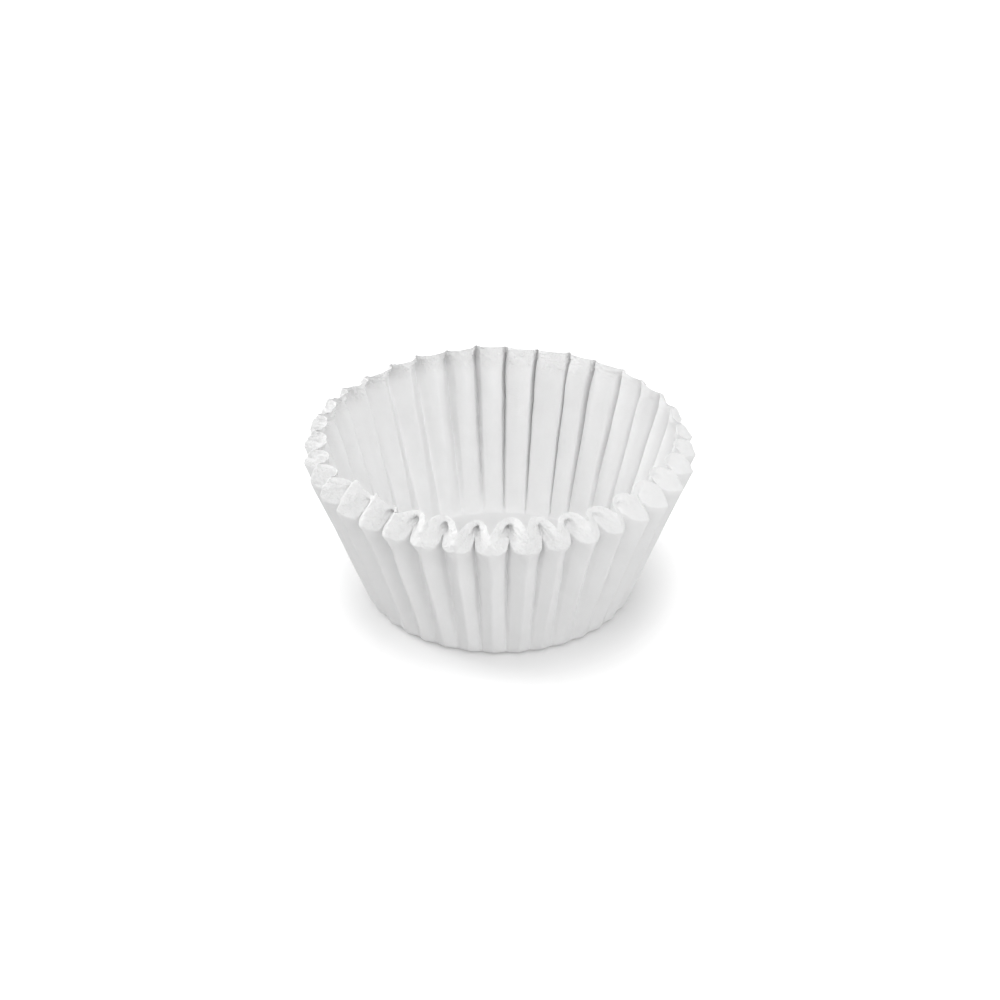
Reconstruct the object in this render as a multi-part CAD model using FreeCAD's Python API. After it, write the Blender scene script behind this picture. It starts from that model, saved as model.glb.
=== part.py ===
"""Paper candy cup: one round sheet of thin paper, pressed into a fluted cup.

The sheet has a flat round base, a rounded corner, a wall of flutes that get
deeper as they rise, and a cap band above a crease, where the flutes lean in,
their folds are pinched, and the rim stands as an arch between two ridge tips.
Millimetres and degrees, +Z up, origin at the middle of the base's underside.
The front of the cup is its -Y side.
"""
import FreeCAD, Part
import math
import os

# The sheet
paper_thickness = 0.06
longest_mitre = 2.8

# The base and its rounded corner
base_diameter = 31.8
corner_radius = 1.0

# The wall, measured along the outward ridges
crease_diameter = 46.0
crease_height = 18.2
wall_levels = (0.22, 0.55, 0.88)

# The flutes: ridges outward, folds inward
flute_count = 36
first_ridge_angle = 7.5
crease_depth = 2.5
depth_growth = 0.6
fold_rise = 0.75

# The cup's shape changes between these directions, in degrees round the cup
directions = (30.0, 72.0, 140.0, 180.0, 215.0, 270.0, 325.0)

# The cap band between the crease and the rim, in each direction
cap_length = (2.1, 1.9, 1.8, 2.2, 2.8, 2.5, 2.6)
cap_lean = (30.0, 20.0, 24.0, 30.0, 32.0, 36.0, 36.0)
cap_middle = 0.4
rim_depth = (1.9, 1.3, 1.6, 1.8, 1.5, 2.3, 1.9)
rim_rise = (0.5, 0.4, 0.4, 0.3, 0.2, 0.6, 0.8)
rim_opening = 1.1
lip_sag = (0.0, 0.0, 0.0, 0.1, 0.7, 0.2, 0.2)
cap_bulge = (0.0, 0.0, 0.0, 0.1, 0.35, 0.3, 0.15)
bulge_rise = 0.4

# The hollow between two caps, above the pinch of their fold, in each direction
hollow_depth = (0.0, 0.0, 0.0, 0.0, 0.8, 1.2, 0.4)
hollow_length = 0.68
hollow_start = 0.8
hollow_opening = (0.0, 0.0, 0.0, 0.0, 0.03, 0.05, 0.02)

# A few ridge tips at the front left stand proud of the others
proud_cap_angle = 222.5
proud_cap_reach = 20.0
proud_cap_length = 2.2

# Half a flute's section in each direction, as (share of the pitch, share of the
# depth) points.  A knee parts the ridge's flank from the inward fold.
wall_section = (
    ((0.07, 0.32), (0.14, 0.66), (0.32, 0.92)),
    ((0.035, 0.44), (0.07, 0.86), (0.27, 0.96)),
    ((0.12, 0.26), (0.24, 0.56), (0.37, 0.84)),
    ((0.11, 0.30), (0.22, 0.64), (0.37, 0.90)),
    ((0.13, 0.28), (0.27, 0.66), (0.41, 0.93)),
    ((0.21, 0.32), (0.42, 0.67), (0.465, 0.93)),
    ((0.15, 0.28), (0.30, 0.60), (0.41, 0.87)),
)
crease_section = (
    ((0.07, 0.32), (0.14, 0.66), (0.32, 0.92)),
    ((0.035, 0.44), (0.07, 0.86), (0.27, 0.96)),
    ((0.13, 0.24), (0.26, 0.52), (0.38, 0.82)),
    ((0.11, 0.26), (0.22, 0.56), (0.37, 0.88)),
    ((0.24, 0.16), (0.44, 0.42), (0.48, 0.84)),
    ((0.24, 0.08), (0.42, 0.32), (0.48, 0.76)),
    ((0.17, 0.20), (0.36, 0.52), (0.45, 0.88)),
)
rim_section = (
    ((0.05, 0.34), (0.10, 0.70), (0.24, 0.95)),
    ((0.06, 0.38), (0.12, 0.74), (0.31, 0.93)),
    ((0.07, 0.32), (0.14, 0.66), (0.28, 0.92)),
    ((0.05, 0.34), (0.10, 0.68), (0.24, 0.94)),
    ((0.09, 0.32), (0.20, 0.68), (0.35, 0.93)),
    ((0.07, 0.36), (0.17, 0.74), (0.35, 0.96)),
    ((0.07, 0.34), (0.14, 0.68), (0.28, 0.94)),
)
section_sag = (0.8, 1.0, 0.2)

# Worked out from the sizes above
base_radius = base_diameter / 2
crease_radius = crease_diameter / 2
flute_pitch = 360.0 / flute_count
wall_turn = math.atan2(crease_height, crease_radius - base_radius)
corner_tangent = corner_radius * math.tan(wall_turn / 2)
corner_length = corner_radius * wall_turn
wall_length = math.hypot(crease_radius - base_radius, crease_height) - corner_tangent
mean_cap_length = sum(cap_length) / len(cap_length)
disc_diameter = 2 * (base_radius - corner_tangent + corner_length + wall_length + mean_cap_length)


def blend(start, end, share):
    """The value that lies a share of the way from start to end."""
    return start + (end - start) * share


def ease(share):
    """A smooth step from 0 to 1."""
    return share * share * (3 - 2 * share)


def direction_shares(azimuth):
    """Share of each direction's shape at an azimuth.  The shares add up to 1."""
    shares = []
    for index, middle in enumerate(directions):
        before = (middle - directions[index - 1]) % 360
        after = (directions[(index + 1) % len(directions)] - middle) % 360
        off = (azimuth - middle + 180) % 360 - 180
        reach = before if off < 0 else after
        shares.append(ease(max(0.0, 1 - abs(off) / reach)))
    return shares


def mixed(values, azimuth):
    """A value given for every direction, at an azimuth."""
    return sum(share * value for share, value in zip(direction_shares(azimuth), values))


def mixed_section(section, azimuth):
    """Half a flute's section at an azimuth, as (share of the pitch, drop) points."""
    points = []
    for index in range(len(section_sag)):
        share = mixed([half[index][0] for half in section], azimuth)
        drop = mixed([half[index][1] for half in section], azimuth)
        points.append((share, drop))
    return points


def proud_length(azimuth):
    """How far a ridge tip at an azimuth stands proud of the rim."""
    off = abs((azimuth - proud_cap_angle + 180) % 360 - 180)
    return proud_cap_length * ease(max(0.0, 1 - off / proud_cap_reach))


def polar(radius, azimuth, height):
    """A point from its radius, azimuth and height."""
    angle = math.radians(azimuth)
    return FreeCAD.Vector(radius * math.cos(angle), radius * math.sin(angle), height)


class Level:
    """One closed line round the wall, at one height on the flutes."""

    def __init__(self, radius, height, depth, rise, closed=0.0, cap=0.0):
        self.radius = radius
        self.height = height
        self.depth = depth
        self.rise = rise
        self.closed = closed
        self.cap = cap

    def hollow(self):
        """Share of the hollow's depth at this height on the cap band."""
        return math.sin(math.pi * min(1.0, self.cap / hollow_length))

    def place(self, azimuth, drop, sag):
        """A point that lies a share of the flute's depth inside the ridge line."""
        lean = math.radians(mixed(cap_lean, azimuth))
        length = self.cap * (mixed(cap_length, azimuth) + proud_length(azimuth) * (1 - drop))
        depth = blend(self.depth, mixed(rim_depth, azimuth), self.cap)
        rise = blend(self.rise, mixed(rim_rise, azimuth), self.cap)
        bulge = mixed(cap_bulge, azimuth) * math.sin(math.pi * self.cap) * (1 - drop)
        inner_fold = max(0.0, drop - hollow_start) / (1 - hollow_start)
        hollow = mixed(hollow_depth, azimuth) * self.hollow() * inner_fold
        lip = self.closed * (1 - self.cap) * mixed(lip_sag, azimuth) * sag
        radius = self.radius - length * math.sin(lean) - depth * drop + bulge - hollow
        height = self.height + length * math.cos(lean) + rise * drop + bulge_rise * bulge - lip
        return polar(radius, azimuth, height)

    def half_flute(self, middle):
        """The points between a ridge and the fold at middle, as (share, drop, sag)."""
        sections = zip(
            mixed_section(wall_section, middle),
            mixed_section(crease_section, middle),
            mixed_section(rim_section, middle),
        )
        opening = mixed(hollow_opening, middle) * self.hollow()
        half = []
        for index, (wall, crease, rim) in enumerate(sections):
            below = [blend(wall[axis], crease[axis], self.closed) for axis in (0, 1)]
            share, drop = [blend(below[axis], rim[axis], self.cap ** rim_opening) for axis in (0, 1)]
            if index > 0:
                share -= opening
            half.append((share, drop, section_sag[index]))
        return half

    def flute(self, azimuth):
        """A ridge, and the seven points of the inward fold that follows it."""
        half = self.half_flute(azimuth + flute_pitch / 2)
        section = [(0.0, 0.0, 0.0)] + half + [(0.5, 1.0, 0.0)]
        section += [(1 - share, drop, sag) for share, drop, sag in reversed(half)]
        return [self.place(azimuth + share * flute_pitch, drop, sag) for share, drop, sag in section]

    def points(self):
        """Every point of the closed line."""
        line = []
        for index in range(flute_count):
            line.extend(self.flute(first_ridge_angle + index * flute_pitch))
        return line


def flute_depth(share):
    """Depth of the flutes at a share of the way from the base to the crease."""
    return crease_depth * share ** depth_growth


def corner_level(share):
    """A level on the rounded corner between the base and the wall."""
    turn = wall_turn * share
    radius = base_radius - corner_tangent + corner_radius * math.sin(turn)
    height = corner_radius * (1 - math.cos(turn))
    along = corner_length * share / (corner_length + wall_length)
    return Level(radius, height, flute_depth(along), fold_rise * along)


def wall_level(share):
    """A level on the straight wall between the corner and the crease."""
    along = (corner_length + wall_length * share) / (corner_length + wall_length)
    start = corner_level(1.0)
    radius = blend(start.radius, crease_radius, share)
    height = blend(start.height, crease_height, share)
    return Level(radius, height, flute_depth(along), fold_rise * along)


def cap_level(share):
    """A level on the cap band, from the crease (0) to the rim (1)."""
    return Level(crease_radius, crease_height, crease_depth, fold_rise, 1.0, share)


def all_levels():
    """Every level from the edge of the flat base up to the rim."""
    levels = [corner_level(share) for share in (0.0, 0.5, 1.0)]
    levels += [wall_level(share) for share in wall_levels]
    levels += [cap_level(share) for share in (0.0, cap_middle, 1.0)]
    return levels


def facets_between(lines):
    """Triangles of the bands between closed lines, as (row, column) triples."""
    facets = []
    columns = len(lines[0])
    for row in range(len(lines) - 1):
        for column in range(columns):
            after = (column + 1) % columns
            facets.append(((row, column), (row, after), (row + 1, after)))
            facets.append(((row, column), (row + 1, after), (row + 1, column)))
    return facets


def corner_normals(lines, facets):
    """The unit normals of the facets round each point."""
    normals = {}
    for facet in facets:
        a, b, c = [lines[row][column] for row, column in facet]
        normal = (b - a).cross(c - a).normalize()
        for corner in facet:
            normals.setdefault(corner, []).append(normal)
    return normals


def inner_lines(lines, facets):
    """The lines moved inward by the paper's thickness, mitred at the folds."""
    normals = corner_normals(lines, facets)
    floor_line = [point + FreeCAD.Vector(0, 0, paper_thickness) for point in lines[0]]
    moved = [floor_line]
    for row in range(1, len(lines)):
        moved.append([])
        for column, point in enumerate(lines[row]):
            around = normals[(row, column)]
            mean = FreeCAD.Vector(0, 0, 0)
            for normal in around:
                mean += normal
            mean.normalize()
            facing = sum(mean.dot(normal) for normal in around) / len(around)
            reach = paper_thickness * min(1 / facing, longest_mitre)
            moved[row].append(point - mean * reach)
    return moved


def flat_face(points):
    """A planar face with the given corners."""
    return Part.Face(Part.makePolygon(points + [points[0]]))


def sheet_faces(lines, facets):
    """One side of the sheet: its round base and every facet of its wall."""
    faces = [flat_face(lines[0])]
    for facet in facets:
        faces.append(flat_face([lines[row][column] for row, column in facet]))
    return faces


def build_cup():
    """The whole cup as one closed solid of thin paper."""
    outside = [level.points() for level in all_levels()]
    facets = facets_between(outside)
    inside = inner_lines(outside, facets)
    edge = [outside[-1], inside[-1]]
    faces = sheet_faces(outside, facets) + sheet_faces(inside, facets)
    for facet in facets_between(edge):
        faces.append(flat_face([edge[row][column] for row, column in facet]))
    return Part.Solid(Part.Shell(faces))


os.makedirs("parts", exist_ok=True)
cup = build_cup()
cup.exportStep("parts/paper_cup.step")
box = cup.BoundBox
print("valid", cup.isValid(), "volume", round(cup.Volume, 2), "faces", len(cup.Faces))
print("size", round(box.XLength, 2), round(box.YLength, 2), round(box.ZLength, 2))
print("flat disc diameter", round(disc_diameter, 1))
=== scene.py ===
"""Looks, light and camera for the paper candy cup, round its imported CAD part.

The cup is one round sheet of thin white paper pressed into a fluted cup.  This
script repeats the CAD sheet at a finer step and adds what pressing leaves in
real paper: uneven flutes, wandering folds, crinkled caps and a fibrous skin.
The sheet's sizes are nominal millimetres and degrees, as in the CAD part, but
with a shallower and steeper rim at the right, softer grooves at the left and
deeper hollows at the front.  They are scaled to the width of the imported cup.
+Z is up and -Y is the front.
"""
import math

import bpy
import numpy as np
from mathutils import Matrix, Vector


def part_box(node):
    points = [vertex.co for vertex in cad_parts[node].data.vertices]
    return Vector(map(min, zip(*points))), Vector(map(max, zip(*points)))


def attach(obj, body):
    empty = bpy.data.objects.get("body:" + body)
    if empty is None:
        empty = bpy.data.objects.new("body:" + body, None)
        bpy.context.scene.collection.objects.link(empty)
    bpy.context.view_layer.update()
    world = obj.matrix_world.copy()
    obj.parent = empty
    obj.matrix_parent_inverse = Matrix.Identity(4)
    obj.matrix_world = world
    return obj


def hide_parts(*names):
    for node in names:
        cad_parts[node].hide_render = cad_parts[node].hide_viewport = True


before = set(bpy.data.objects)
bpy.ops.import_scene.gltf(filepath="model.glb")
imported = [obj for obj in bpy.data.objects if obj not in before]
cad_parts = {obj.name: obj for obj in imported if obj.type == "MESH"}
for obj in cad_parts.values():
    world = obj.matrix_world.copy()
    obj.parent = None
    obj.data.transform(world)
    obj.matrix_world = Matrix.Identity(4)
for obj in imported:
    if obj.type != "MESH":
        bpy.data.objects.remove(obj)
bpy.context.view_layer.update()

NODE = "paper_cup"
SLOT = "white_paper"
low_corner, high_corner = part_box(NODE)
nominal_width = 45.956
unit = (high_corner.x - low_corner.x) / nominal_width

# The sheet
paper_thickness = 0.06
longest_mitre = 2.0

# The base and its rounded corner
base_radius = 15.9
corner_radius = 1.0

# The wall, measured along the outward ridges
crease_radius = 23.0
crease_height = 18.2

# The flutes: ridges outward, folds inward.  They begin to close at a share of the
# way up the wall.
flute_count = 36
first_ridge_angle = 7.5
crease_depth = 2.5
depth_growth = 0.6
fold_rise = 0.75
closing_start = 0.88

# The cup's shape changes between these directions, in degrees round the cup
directions = (30.0, 72.0, 140.0, 180.0, 215.0, 270.0, 325.0)

# The cap band between the crease and the rim, in each direction
cap_length = (2.1, 1.9, 1.8, 2.2, 2.8, 2.5, 2.6)
cap_lean = (25.0, 20.0, 24.0, 30.0, 32.0, 36.0, 34.0)
rim_depth = (1.1, 1.2, 1.6, 1.8, 1.5, 2.3, 1.7)
rim_rise = (0.5, 0.4, 0.4, 0.3, 0.2, 0.6, 0.8)
rim_opening = 1.1
lip_sag = (0.0, 0.0, 0.0, 0.1, 0.7, 0.2, 0.2)
cap_bulge = (0.0, 0.0, 0.0, 0.1, 0.35, 0.3, 0.15)
bulge_rise = 0.4

# The hollow between two caps, above the pinch of their fold, in each direction
hollow_depth = (0.0, 0.0, 0.0, 0.0, 1.0, 1.7, 0.5)
hollow_length = 0.68
hollow_start = 0.8
hollow_opening = (0.0, 0.0, 0.0, 0.0, 0.045, 0.08, 0.03)

# How far the folds lean round the cup, as a share of the pitch, in each direction,
# and the share of that lean that the open wall has
pleat_skew = (0.0, 0.0, 0.0, 0.06, 0.10, 0.0, -0.04)
wall_skew_share = 0.4

# A few ridge tips at the front left stand proud of the others
proud_cap_angle = 222.5
proud_cap_reach = 20.0
proud_cap_length = 2.2

# Half a flute's section in each direction, as (share of the pitch, share of the
# depth) points.  A knee parts the ridge's flank from the inward fold.
wall_section = (
    ((0.07, 0.32), (0.14, 0.66), (0.32, 0.92)),
    ((0.035, 0.44), (0.07, 0.86), (0.27, 0.96)),
    ((0.15, 0.24), (0.30, 0.54), (0.41, 0.84)),
    ((0.15, 0.24), (0.30, 0.55), (0.41, 0.86)),
    ((0.13, 0.28), (0.27, 0.66), (0.41, 0.93)),
    ((0.21, 0.32), (0.42, 0.67), (0.465, 0.93)),
    ((0.15, 0.28), (0.30, 0.60), (0.41, 0.87)),
)
crease_section = (
    ((0.07, 0.32), (0.14, 0.66), (0.32, 0.92)),
    ((0.035, 0.44), (0.07, 0.86), (0.27, 0.96)),
    ((0.13, 0.24), (0.26, 0.52), (0.38, 0.82)),
    ((0.13, 0.24), (0.26, 0.54), (0.38, 0.85)),
    ((0.24, 0.16), (0.44, 0.42), (0.48, 0.84)),
    ((0.24, 0.08), (0.42, 0.32), (0.48, 0.76)),
    ((0.17, 0.20), (0.36, 0.52), (0.45, 0.88)),
)
rim_section = (
    ((0.05, 0.34), (0.10, 0.70), (0.24, 0.95)),
    ((0.06, 0.38), (0.12, 0.74), (0.31, 0.93)),
    ((0.07, 0.32), (0.14, 0.66), (0.28, 0.92)),
    ((0.05, 0.34), (0.10, 0.68), (0.24, 0.94)),
    ((0.09, 0.32), (0.20, 0.68), (0.35, 0.93)),
    ((0.07, 0.36), (0.17, 0.74), (0.35, 0.96)),
    ((0.07, 0.34), (0.14, 0.68), (0.28, 0.94)),
)

# How much of the lip's sag the section's three points between ridge and fold take
section_sag = (0.8, 1.0, 0.2)

# How finely the sheet is divided
columns_per_flute = 32
corner_rows = 4
wall_rows = 15
cap_rows = 19
base_rings = (0.25, 1.1, 2.6)

# What pressing and handling leave in the paper
seed = 7
ridge_jitter = 0.9
depth_jitter = 0.10
cap_jitter = 0.16
lean_jitter = 6.0
wander = 0.16
sway = 0.10
ripple = 0.022
cap_crumple = 0.13
cap_crinkle = 0.035
crumple_share = (0.35, 0.7, 1.0, 1.1, 0.8, 1.0, 0.4)
wall_crumple_share = 0.10
lip_bead = 0.08
bead_place = 0.05
full_crumple_place = 1 / 6

# How many cells each noise has round the cup, and from base to rim
swing_cells = (flute_count * 2, 9)
tip_cells = (flute_count, 1)
sway_cells = (22, 4)
ripple_cells = (flute_count * 4, 26)
crumple_cells = (flute_count * 9, 28)
fine_crumple_cells = (flute_count * 14, 44)
crinkle_cells = (flute_count * 16, 90)

# The paper's tones and gloss, which change with a soft mottle
dull_tone = 0.925
pale_tone = 0.955
low_roughness = 0.55
high_roughness = 0.75
specular_level = 0.35
see_through = 0.16
mottle_scale = 420.0
mottle_detail = 4.0
dull_mottle = 0.3
pale_mottle = 0.7

# The paper's relief: each noise's scale, detail and squeeze along the height
fibre_noise = (5200.0, 6.0, 1.0)
crepe_noise = (900.0, 3.0, 7.0)
wrinkle_noise = (1500.0, 2.0, 1.0)
fibre_height = 0.016
crepe_height = 0.032

# The wrinkles are deep left of one place and shallow right of another, and the
# wall below the caps has only a share of them
deep_wrinkle = 0.21
shallow_wrinkle = 0.05
deep_wrinkle_end = 6.0
shallow_wrinkle_start = 16.0
wall_wrinkle_share = 0.12
below_caps = 0.6
inside_caps = 0.3

# Camera, with the nearest distance it sees in metres
camera_elevation = 31.64
camera_distance = 360.0
camera_aim = (0.08, 0.0, 11.3)
camera_lens = 109.5
sensor_width = 36.0
nearest_seen = 0.01

# Light: each lamp's name, azimuth, elevation, strength and width as an angle
lamps = (
    ("front", -90, 53, 1.1, 50),
    ("left", 155, 30, 1.25, 26),
    ("right", -36, 10, 0.6, 40),
    ("back", 90, 45, 0.85, 40),
    ("low back", 90, 15, 0.45, 40),
)
ambient_level = 0.46

# The floor, with its radius in metres, and its glow at the cup and beyond a painted shadow round
# the base: the glow is dimmer near the cup, which paints shade on the floor there
floor_reach = 4.0
floor_corners = 96
floor_gap = 0.2
floor_tone = 0.64
painted_shadow_width = 12.0
glow_in_painted_shadow = 0.21
glow_past_painted_shadow = 0.62


def blend(start, end, share):
    """The value that lies a share of the way from start to end."""
    return start + (end - start) * share


def ease(share):
    """A smooth step from 0 to 1."""
    return share * share * (3 - 2 * share)


def facing(azimuth):
    """Share of each direction's shape at an azimuth.  The shares add up to 1."""
    shares = []
    for index, middle in enumerate(directions):
        before = (middle - directions[index - 1]) % 360
        after = (directions[(index + 1) % len(directions)] - middle) % 360
        off = (np.asarray(azimuth) - middle + 180) % 360 - 180
        reach = np.where(off < 0, before, after)
        shares.append(ease(np.clip(1 - np.abs(off) / reach, 0, 1)))
    return np.stack(shares)


def mixed(values, azimuth):
    """A value given for every direction, at an azimuth."""
    return np.tensordot(np.array(values), facing(azimuth), axes=(0, 0))


def lattice_noise(rng, across, along, cells):
    """Smooth noise from -1 to 1 over the sheet, which closes on itself round the cup."""
    cells_across, cells_along = cells
    lattice = rng.uniform(-1.0, 1.0, (cells_along + 2, cells_across))
    x = across * cells_across
    y = along * cells_along
    column = np.floor(x).astype(int)
    row = np.clip(np.floor(y).astype(int), 0, cells_along)
    tx = ease(x - column)
    ty = ease(y - row)
    left = column % cells_across
    right = (column + 1) % cells_across
    lower = blend(lattice[row, left], lattice[row, right], tx)
    upper = blend(lattice[row + 1, left], lattice[row + 1, right], tx)
    return blend(lower, upper, ty)


class Rows:
    """The sizes of every line round the sheet, from the base's edge up to the rim.

    side and cap are shares of the way up the wall and up the cap band.  closed is
    how far the flutes have closed, and along the share of the whole way.
    """

    def __init__(self):
        turn_full = math.atan2(crease_height, crease_radius - base_radius)
        tangent = corner_radius * math.tan(turn_full / 2)
        corner_length = corner_radius * turn_full
        slant = math.hypot(crease_radius - base_radius, crease_height)
        wall_length = slant - tangent
        side_length = corner_length + wall_length

        turn = turn_full * np.linspace(0, 1, corner_rows)
        corner_r = base_radius - tangent + corner_radius * np.sin(turn)
        corner_z = corner_radius * (1 - np.cos(turn))
        share = np.linspace(0, 1, wall_rows + 1)[1:]
        wall_r = blend(corner_r[-1], crease_radius, share)
        wall_z = blend(corner_z[-1], crease_height, share)
        cap = np.linspace(0, 1, cap_rows + 1)[1:]

        self.radius = np.concatenate([corner_r, wall_r, np.full(cap_rows, crease_radius)])
        self.height = np.concatenate([corner_z, wall_z, np.full(cap_rows, crease_height)])
        path = np.concatenate([turn * corner_radius, corner_length + wall_length * share])
        self.side = np.concatenate([path / side_length, np.ones(cap_rows)])
        self.cap = np.concatenate([np.zeros(corner_rows + wall_rows), cap])
        self.closed = ease(np.clip((self.side - closing_start) / (1 - closing_start), 0, 1))
        self.depth = crease_depth * self.side ** depth_growth
        self.rise = fold_rise * self.side
        longest_cap = max(cap_length)
        self.along = (path[-1] * self.side + longest_cap * self.cap) / (path[-1] + longest_cap)


def hollow_swell(cap):
    """How far a hollow has opened at a share of the cap: 0 at its two ends and 1 between."""
    return np.sin(math.pi * np.clip(cap / hollow_length, 0, 1))


def section_table(rows, middle):
    """Share and drop of the nine section points, for every row and flute."""
    weights = facing(middle)
    wall, crease, rim = [
        np.tensordot(np.array(section), weights, axes=(0, 0))
        for section in (wall_section, crease_section, rim_section)
    ]
    closed = rows.closed[:, None, None, None]
    cap = rows.cap[:, None, None, None]
    half = blend(blend(wall, crease, closed), rim, cap ** rim_opening)
    half = half.transpose(1, 2, 0, 3)

    # A hollow spreads the inner half of its fold
    half[1:, 0] -= mixed(hollow_opening, middle)[None, :] * hollow_swell(rows.cap)[:, None]

    # Ridge, half section, fold, the same half mirrored, and the next ridge
    ends = np.zeros((1,) + half.shape[1:])
    centre = ends + np.array([0.5, 1.0])[:, None, None]
    mirrored = half[::-1].copy()
    mirrored[:, 0] = 1 - mirrored[:, 0]
    last = ends + np.array([1.0, 0.0])[:, None, None]
    table = np.concatenate([ends, half, centre, mirrored, last])
    shares = table[:, 0]
    drops = table[:, 1]

    # The fold moves by the full skew, and the ridges stay where they are
    skew = mixed(pleat_skew, middle)[None, None, :]
    skew = skew * blend(wall_skew_share, 1, rows.closed)[None, :, None]
    return shares + skew * 4 * shares * (1 - shares), drops


def spread_over_columns(table):
    """A table of section points, rows and flutes, spread over the rows and columns of the sheet."""
    place = np.arange(columns_per_flute) * (len(table) - 1) / columns_per_flute
    start = np.floor(place).astype(int)
    part = (place - start)[:, None, None]
    value = blend(table[start], table[start + 1], part)
    return value.transpose(1, 2, 0).reshape(table.shape[1], -1)


def crumpled(rng, across, along, cells):
    """Sharp creases from -0.5 to 0.5, where a smooth noise crosses its middle."""
    return 0.5 - np.abs(lattice_noise(rng, across, along, cells))


def outer_sheet(rng):
    """Points of the wall's outer side, as an array of rows, columns and x, y, z."""
    rows = Rows()
    pitch = 360.0 / flute_count
    ridge = first_ridge_angle + pitch * np.arange(flute_count)
    ridge = ridge + ridge_jitter * rng.uniform(-1, 1, flute_count)
    following = np.append(ridge[1:], ridge[0] + 360.0)
    middle = (ridge + following) / 2
    depth_scale = 1 + depth_jitter * rng.uniform(-1, 1, flute_count)[None, :]

    # The flutes' section at every row and column
    shares, drops = section_table(rows, middle)
    sags = np.zeros(shares.shape)
    for index, amount in enumerate(section_sag):
        sags[[1 + index, -2 - index]] = amount
    share = spread_over_columns(shares)
    lip_share = spread_over_columns(sags)
    fall = spread_over_columns(drops) * np.repeat(depth_scale, columns_per_flute, axis=1)
    width = np.repeat(following - ridge, columns_per_flute)[None, :]
    azimuth = np.repeat(ridge, columns_per_flute)[None, :] + share * width

    # The folds wander a little round the cup, and most where the base is far
    column_count = flute_count * columns_per_flute
    column = np.arange(column_count) / column_count
    across = np.broadcast_to(column[None, :], azimuth.shape)
    along = np.broadcast_to(rows.along[:, None], azimuth.shape)
    free = ease(np.clip(rows.side, 0, 1))[:, None]
    swing = lattice_noise(rng, across, along, swing_cells)
    azimuth = azimuth + np.degrees(wander * free * swing / crease_radius)

    # The caps above the crease
    cap = rows.cap[:, None]
    closed = rows.closed[:, None]
    tip_scale = 1 + cap_jitter * lattice_noise(rng, across, along * 0, tip_cells)
    lean = mixed(cap_lean, azimuth) + lean_jitter * lattice_noise(rng, across, along * 0, tip_cells)
    lean = np.radians(lean)
    off_proud = (azimuth - proud_cap_angle + 180) % 360 - 180
    proud = proud_cap_length * ease(np.clip(1 - np.abs(off_proud) / proud_cap_reach, 0, 1))
    length = cap * (mixed(cap_length, azimuth) * tip_scale + proud * (1 - fall))
    depth = blend(rows.depth[:, None], mixed(rim_depth, azimuth), cap)
    rise = blend(rows.rise[:, None], mixed(rim_rise, azimuth), cap)
    sag = mixed(lip_sag, azimuth) * closed * (1 - cap) * lip_share
    inner_fold = np.clip(fall - hollow_start, 0, 1 - hollow_start) / (1 - hollow_start)
    hollow = mixed(hollow_depth, azimuth) * hollow_swell(cap) * inner_fold
    bulge = mixed(cap_bulge, azimuth) * np.sin(math.pi * cap) * (1 - fall)

    # The points, with a slow sway of the wall
    radius = rows.radius[:, None] - length * np.sin(lean) - depth * fall + bulge - hollow
    radius = radius + sway * free * lattice_noise(rng, across, along, sway_cells)
    height = rows.height[:, None] + length * np.cos(lean) + rise * fall - sag + bulge_rise * bulge
    angle = np.radians(azimuth)
    sheet = np.stack([radius * np.cos(angle), radius * np.sin(angle), height], axis=-1)
    sheet = softened(sheet)

    # Fine relief, square to the sheet: ripples, a bead along the lip, and creases
    fine = ripple * lattice_noise(rng, across, along, ripple_cells) * free
    bead = lip_bead * np.exp(-((cap - bead_place) / bead_place) ** 2) * closed
    fine = fine + bead * mixed(cap_bulge, azimuth) / max(cap_bulge)
    crumple = crumpled(rng, across, along, crumple_cells)
    crumple = crumple + crumpled(rng, across, along, fine_crumple_cells)
    crinkle = lattice_noise(rng, across, along, crinkle_cells)
    creases = (cap_crumple * crumple + cap_crinkle * crinkle) * mixed(crumple_share, azimuth)
    capness = np.clip(cap / full_crumple_place, 0, 1)
    fine = fine + creases * (capness + wall_crumple_share * free)
    return sheet + grid_normals(sheet) * fine[..., None]


def softened(sheet):
    """The sheet with its folds softened a little across the flutes."""
    return (np.roll(sheet, 1, axis=1) + 2 * sheet + np.roll(sheet, -1, axis=1)) / 4


def grid_normals(sheet):
    """Unit normals that point out of the cup at every point of the sheet."""
    across = np.roll(sheet, -1, axis=1) - np.roll(sheet, 1, axis=1)
    up = np.gradient(sheet, axis=0)
    normal = np.cross(across, up)
    return normal / np.linalg.norm(normal, axis=-1, keepdims=True)


def inner_sheet(outer):
    """The sheet's inner side, one paper thickness inward and mitred at the folds."""
    normal = grid_normals(outer)
    side = np.roll(outer, -1, axis=1) - outer
    up = np.gradient(outer, axis=0)
    face = np.cross(side, up)
    face = face / np.linalg.norm(face, axis=-1, keepdims=True)
    square = (face + np.roll(face, 1, axis=1)) / 2
    cosine = np.sum(square * normal, axis=-1)
    reach = paper_thickness * (1 / np.clip(cosine, 1 / longest_mitre, 1))
    inner = outer - normal * reach[..., None]
    inner[0] = outer[0] + np.array([0, 0, paper_thickness])
    return inner


def base_points(line, height):
    """Rings inside a closed line of the base, at a height."""
    rings = []
    radius = np.linalg.norm(line[:, :2], axis=1)
    for inset in base_rings:
        ring = line.copy()
        ring[:, :2] *= ((radius - inset) / radius)[:, None]
        ring[:, 2] = height
        rings.append(ring)
    return rings


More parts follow.
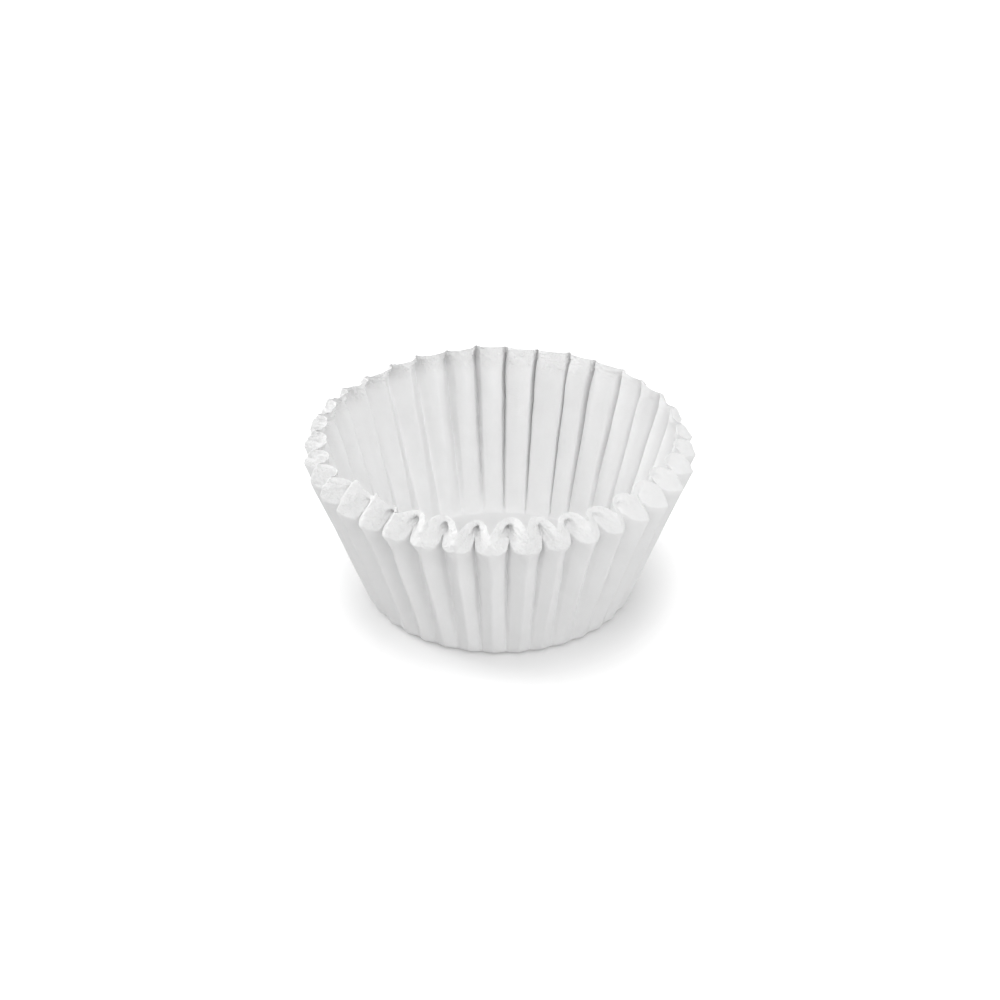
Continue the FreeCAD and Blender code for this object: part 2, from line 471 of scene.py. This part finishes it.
def cup_mesh(rng):
    """The whole cup as one closed mesh."""
    outer = outer_sheet(rng)
    inner = inner_sheet(outer)
    columns = outer.shape[1]
    lines = list(reversed(base_points(outer[0], 0.0)))
    lines += list(outer)
    lines += list(inner[::-1])
    lines += base_points(inner[0], paper_thickness)
    points = np.concatenate(lines)
    points[:, 2] = np.maximum(points[:, 2], 0.0)

    faces = []
    for row in range(len(lines) - 1):
        first = row * columns
        second = first + columns
        for column in range(columns):
            after = (column + 1) % columns
            faces.append((first + column, first + after, second + after, second + column))
    last = (len(lines) - 1) * columns
    faces.append(tuple(reversed(range(columns))))
    faces.append(tuple(last + column for column in range(columns)))

    mesh = bpy.data.meshes.new(NODE)
    mesh.from_pydata((points * unit).tolist(), [], faces)
    mesh.validate()
    mesh.update()
    mesh.shade_smooth()
    return mesh


def grey(level):
    """A neutral colour."""
    return (level, level, level, 1)


def paper_material():
    """White paper: a pale, dry, slightly fibrous skin."""
    material = bpy.data.materials.new(SLOT)
    material.use_nodes = True
    nodes = material.node_tree.nodes
    links = material.node_tree.links
    shader = nodes["Principled BSDF"]
    shader.inputs["Specular IOR Level"].default_value = specular_level

    place = nodes.new("ShaderNodeTexCoord")

    mottle = nodes.new("ShaderNodeTexNoise")
    mottle.inputs["Scale"].default_value = mottle_scale
    mottle.inputs["Detail"].default_value = mottle_detail
    links.new(place.outputs["Object"], mottle.inputs["Vector"])

    tone = nodes.new("ShaderNodeValToRGB")
    tone.color_ramp.elements[0].position = dull_mottle
    tone.color_ramp.elements[0].color = grey(dull_tone)
    tone.color_ramp.elements[1].position = pale_mottle
    tone.color_ramp.elements[1].color = grey(pale_tone)
    links.new(mottle.outputs["Fac"], tone.inputs["Fac"])
    links.new(tone.outputs["Color"], shader.inputs["Base Color"])

    rough = nodes.new("ShaderNodeMapRange")
    rough.inputs["To Min"].default_value = low_roughness
    rough.inputs["To Max"].default_value = high_roughness
    links.new(mottle.outputs["Fac"], rough.inputs["Value"])
    links.new(rough.outputs["Result"], shader.inputs["Roughness"])

    def relief(name, scale, detail, squeeze):
        """A noise field, squeezed along the height."""
        squeezed = nodes.new("ShaderNodeMapping")
        squeezed.inputs["Scale"].default_value = (1, 1, squeeze)
        links.new(place.outputs["Object"], squeezed.inputs["Vector"])
        noise = nodes.new("ShaderNodeTexNoise")
        noise.name = name
        noise.inputs["Scale"].default_value = scale
        noise.inputs["Detail"].default_value = detail
        links.new(squeezed.outputs[0], noise.inputs["Vector"])
        return noise.outputs["Fac"]

    def scaled(value, factor, offset=0.0):
        """A value times a factor (a number or another value), plus an offset."""
        node = nodes.new("ShaderNodeMath")
        node.operation = "MULTIPLY_ADD"
        links.new(value, node.inputs[0])
        if isinstance(factor, float):
            node.inputs[1].default_value = factor
        else:
            links.new(factor, node.inputs[1])
        node.inputs[2].default_value = offset
        return node.outputs[0]

    def summed(first, second):
        """Two values added."""
        node = nodes.new("ShaderNodeMath")
        links.new(first, node.inputs[0])
        links.new(second, node.inputs[1])
        return node.outputs[0]

    def folded(value):
        """Sharp wrinkles where a noise field crosses its middle."""
        node = nodes.new("ShaderNodeMath")
        node.operation = "ABSOLUTE"
        links.new(scaled(value, 2.0, -1.0), node.inputs[0])
        return node.outputs[0]

    # Where the wrinkles are: most on the caps, and deeper at the left
    position = nodes.new("ShaderNodeSeparateXYZ")
    links.new(place.outputs["Object"], position.inputs[0])
    capness = nodes.new("ShaderNodeMapRange")
    capness.inputs["From Min"].default_value = (crease_height - below_caps) * unit
    capness.inputs["From Max"].default_value = (crease_height + inside_caps) * unit
    capness.inputs["To Min"].default_value = wall_wrinkle_share
    links.new(position.outputs["Z"], capness.inputs["Value"])
    wrinkle_height = nodes.new("ShaderNodeMapRange")
    wrinkle_height.inputs["From Min"].default_value = deep_wrinkle_end * unit
    wrinkle_height.inputs["From Max"].default_value = shallow_wrinkle_start * unit
    wrinkle_height.inputs["To Min"].default_value = deep_wrinkle * unit
    wrinkle_height.inputs["To Max"].default_value = shallow_wrinkle * unit
    links.new(position.outputs["X"], wrinkle_height.inputs["Value"])

    fibre = scaled(relief("fibre", *fibre_noise), fibre_height * unit)
    crepe = scaled(relief("crepe", *crepe_noise), crepe_height * unit)
    wrinkles = scaled(folded(relief("creases", *wrinkle_noise)), wrinkle_height.outputs["Result"])
    wrinkles = scaled(wrinkles, capness.outputs["Result"])

    bump = nodes.new("ShaderNodeBump")
    bump.inputs["Strength"].default_value = 1.0
    bump.inputs["Distance"].default_value = 1.0
    links.new(summed(summed(fibre, crepe), wrinkles), bump.inputs["Height"])
    links.new(bump.outputs["Normal"], shader.inputs["Normal"])

    through = nodes.new("ShaderNodeBsdfTranslucent")
    links.new(tone.outputs["Color"], through.inputs["Color"])
    links.new(bump.outputs["Normal"], through.inputs["Normal"])
    thin = nodes.new("ShaderNodeMixShader")
    thin.inputs["Fac"].default_value = see_through
    links.new(shader.outputs[0], thin.inputs[1])
    links.new(through.outputs[0], thin.inputs[2])
    links.new(thin.outputs[0], nodes["Material Output"].inputs["Surface"])
    return material


def build_cup():
    """The paper cup as one piece that stands for the CAD node."""
    rng = np.random.default_rng(seed)
    cup = bpy.data.objects.new(NODE + "_sheet", cup_mesh(rng))
    bpy.context.collection.objects.link(cup)
    cup.data.materials.append(paper_material())
    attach(cup, "root")
    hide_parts(NODE)


def camera_sees(nodes, links):
    """A value of 1 for rays that show the backdrop: seen, mirrored or passed on."""
    path = nodes.new("ShaderNodeLightPath")
    total = path.outputs["Is Camera Ray"]
    for name in ("Is Glossy Ray", "Is Transmission Ray"):
        add = nodes.new("ShaderNodeMath")
        add.operation = "MAXIMUM"
        links.new(total, add.inputs[0])
        links.new(path.outputs[name], add.inputs[1])
        total = add.outputs[0]
    return total


def build_world():
    """A plain white backdrop, which also lights the cup softly, at its own level."""
    world = bpy.data.worlds.new("studio")
    bpy.context.scene.world = world
    world.use_nodes = True
    nodes = world.node_tree.nodes
    links = world.node_tree.links
    back = nodes["Background"]
    back.inputs["Color"].default_value = grey(1.0)
    level = nodes.new("ShaderNodeMapRange")
    level.inputs["To Min"].default_value = ambient_level
    level.inputs["To Max"].default_value = 1.0
    links.new(camera_sees(nodes, links), level.inputs["Value"])
    links.new(level.outputs["Result"], back.inputs["Strength"])


def build_floor():
    """A wide pale floor that keeps the cup's cast shadow, adds a painted shadow round the base, and
    fades to white further out.
    """
    bpy.ops.mesh.primitive_circle_add(vertices=floor_corners, radius=floor_reach, fill_type="NGON")
    floor = bpy.context.object
    floor.name = "floor"
    floor.location.z = -floor_gap * unit
    material = bpy.data.materials.new("floor")
    material.use_nodes = True
    nodes = material.node_tree.nodes
    links = material.node_tree.links
    nodes.remove(nodes["Principled BSDF"])
    diffuse = nodes.new("ShaderNodeBsdfDiffuse")
    diffuse.inputs["Color"].default_value = grey(floor_tone)
    place = nodes.new("ShaderNodeTexCoord")
    reach = nodes.new("ShaderNodeVectorMath")
    reach.operation = "LENGTH"
    links.new(place.outputs["Object"], reach.inputs[0])
    # Painted shadow: the glow is dimmer near the cup's base and rises to full further out,
    # darkening a ring round the cup
    painted_shadow_fade = nodes.new("ShaderNodeMapRange")
    painted_shadow_fade.interpolation_type = "SMOOTHSTEP"
    painted_shadow_fade.inputs["From Min"].default_value = base_radius * unit
    painted_shadow_fade.inputs["From Max"].default_value = (base_radius + painted_shadow_width) * unit
    painted_shadow_fade.inputs["To Min"].default_value = glow_in_painted_shadow
    painted_shadow_fade.inputs["To Max"].default_value = glow_past_painted_shadow
    links.new(reach.outputs["Value"], painted_shadow_fade.inputs["Value"])
    seen = nodes.new("ShaderNodeMath")
    seen.operation = "MULTIPLY"
    links.new(camera_sees(nodes, links), seen.inputs[0])
    links.new(painted_shadow_fade.outputs["Result"], seen.inputs[1])
    glow = nodes.new("ShaderNodeEmission")
    links.new(seen.outputs[0], glow.inputs["Strength"])
    glow.inputs["Color"].default_value = grey(1.0)
    add = nodes.new("ShaderNodeAddShader")
    links.new(diffuse.outputs[0], add.inputs[0])
    links.new(glow.outputs[0], add.inputs[1])
    links.new(add.outputs[0], nodes["Material Output"].inputs["Surface"])
    floor.data.materials.append(material)


def add_sun(name, azimuth, elevation, strength, angle):
    """A soft distant lamp that shines from a direction.  All angles are in degrees."""
    data = bpy.data.lights.new(name, "SUN")
    data.energy = strength
    data.angle = math.radians(angle)
    lamp = bpy.data.objects.new(name, data)
    bpy.context.collection.objects.link(lamp)
    turn = math.radians(azimuth)
    tilt = math.radians(elevation)
    level = math.cos(tilt)
    source = Vector((math.cos(turn) * level, math.sin(turn) * level, math.sin(tilt)))
    lamp.location = source
    lamp.rotation_euler = source.to_track_quat("Z", "Y").to_euler()


def build_camera():
    """The camera, in front of the cup and above it."""
    data = bpy.data.cameras.new("camera")
    data.lens = camera_lens
    data.sensor_width = sensor_width
    data.clip_start = nearest_seen
    camera = bpy.data.objects.new("camera", data)
    bpy.context.collection.objects.link(camera)
    tilt = math.radians(camera_elevation)
    back = Vector((0, -math.cos(tilt), math.sin(tilt)))
    camera.location = (Vector(camera_aim) + back * camera_distance) * unit
    camera.rotation_euler = back.to_track_quat("Z", "Y").to_euler()
    bpy.context.scene.camera = camera


build_cup()
build_world()
build_floor()
for lamp in lamps:
    add_sun(*lamp)
build_camera()
bpy.context.scene.view_settings.view_transform = "Standard"
